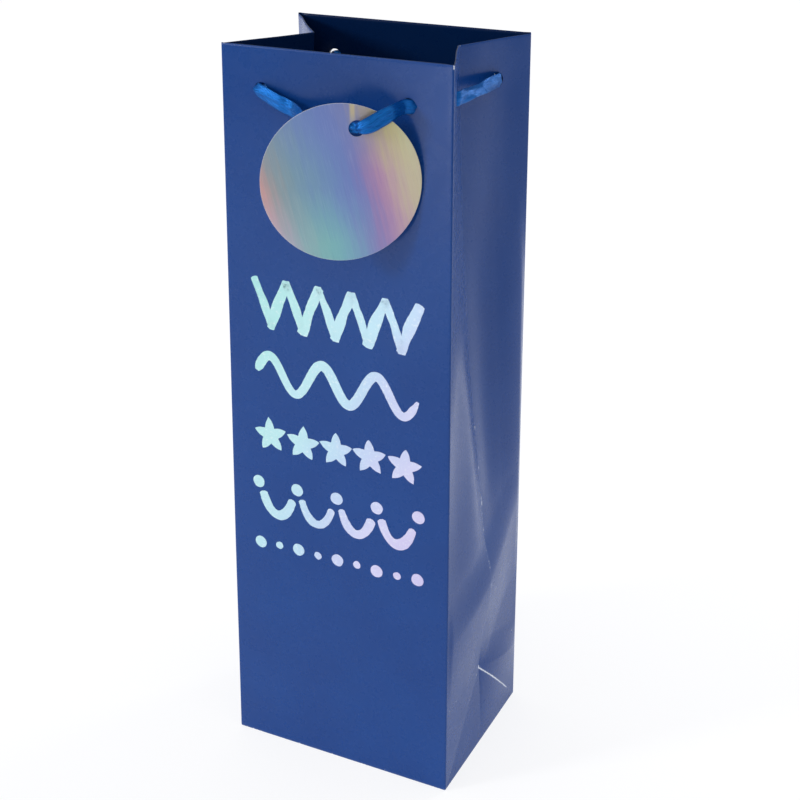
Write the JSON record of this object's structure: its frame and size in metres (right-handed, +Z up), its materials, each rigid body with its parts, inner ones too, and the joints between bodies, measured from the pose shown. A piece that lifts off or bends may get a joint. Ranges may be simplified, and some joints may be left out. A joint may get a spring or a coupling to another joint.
{
  "type": "gift bag",
  "caption": "Tall open-topped paper gift bag for a bottle, with tucked side gussets, turned-in mouth, satin ribbon handles, round hang tag and foil ornament.",
  "frame": {"origin": "centre of the underside of the base", "axes": "+Z up through the mouth; the front panel with the tag faces -Y; +X to the right seen from the front"},
  "size_m": [0.1244, 0.1146, 0.36],
  "materials": {
    "printed_paper": "matte laminated",
    "grey_card": "raw",
    "satin_ribbon": "satin",
    "pearl_foil": "iridescent hot-stamped foil",
    "holographic_card": "brushed holographic foil laminate"
  },
  "bodies": {
    "base": {"base_board": "grey_card", "base_flap_front": "printed_paper", "base_flap_back": "printed_paper", "base_flap_right": "printed_paper", "base_flap_left": "printed_paper", "right_gusset_foot": "printed_paper", "left_gusset_foot": "printed_paper", "right_gusset_front": "printed_paper", "right_gusset_back": "printed_paper", "left_gusset_front": "printed_paper", "left_gusset_back": "printed_paper", "right_gusset_hem": "printed_paper", "left_gusset_hem": "printed_paper", "side_seam_flap": "printed_paper", "right_ribbon_crossing": "satin_ribbon", "left_ribbon_crossing": "satin_ribbon"},
    "front": {"front_panel": "printed_paper", "front_card": "grey_card", "front_hem": "printed_paper", "foil_motif": "pearl_foil", "ribbon_link_front_right": "satin_ribbon", "ribbon_link_front_left": "satin_ribbon"},
    "back": {"back_panel": "printed_paper", "back_card": "grey_card", "back_hem": "printed_paper", "ribbon_link_back_right": "satin_ribbon", "ribbon_link_back_left": "satin_ribbon"},
    "front_handle": {"ribbon_front_span": "satin_ribbon"},
    "tag": {"gift_tag": "holographic_card"},
    "back_handle": {"ribbon_back_span": "satin_ribbon", "ribbon_knot": "satin_ribbon"}
  },
  "joints": [
    {"name": "mouth_front", "type": "hinge", "parent": "base", "child": "front", "pos_m": [0, -0.045, 0], "axis": [-1, 0, 0], "range_deg": [-0.8, 3.8], "stiffness_Nm_per_rad": 0.5, "deforming": ["right_gusset_foot", "left_gusset_foot", "right_gusset_front", "right_gusset_back", "left_gusset_front", "left_gusset_back", "right_gusset_hem", "left_gusset_hem", "side_seam_flap", "right_ribbon_crossing", "left_ribbon_crossing", "ribbon_link_front_right", "ribbon_link_front_left", "ribbon_link_back_right", "ribbon_link_back_left"]},
    {"name": "mouth_back", "type": "hinge", "parent": "base", "child": "back", "pos_m": [0, 0.045, 0], "axis": [1, 0, 0], "range_deg": [-0.8, 3.8], "stiffness_Nm_per_rad": 0.5},
    {"name": "front_handle_swing", "type": "hinge", "parent": "front", "child": "front_handle", "pos_m": [0, -0.03411, 0.34363], "axis": [-1, 0, 0], "range_deg": [0, 65]},
    {"name": "tag_swing", "type": "hinge", "parent": "front_handle", "child": "tag", "pos_m": [0.01942, -0.04958, 0.3337], "axis": [0.4818, -0.8763, 0], "range_deg": [-20, 6]},
    {"name": "back_handle_swing", "type": "hinge", "parent": "back", "child": "back_handle", "pos_m": [0, 0.04349, 0.341], "axis": [1, 0, 0], "range_deg": [0, 165]}
  ],
  "couplings": [
    {"joint": "mouth_back", "follows": "mouth_front", "ratio": 1}
  ]
}
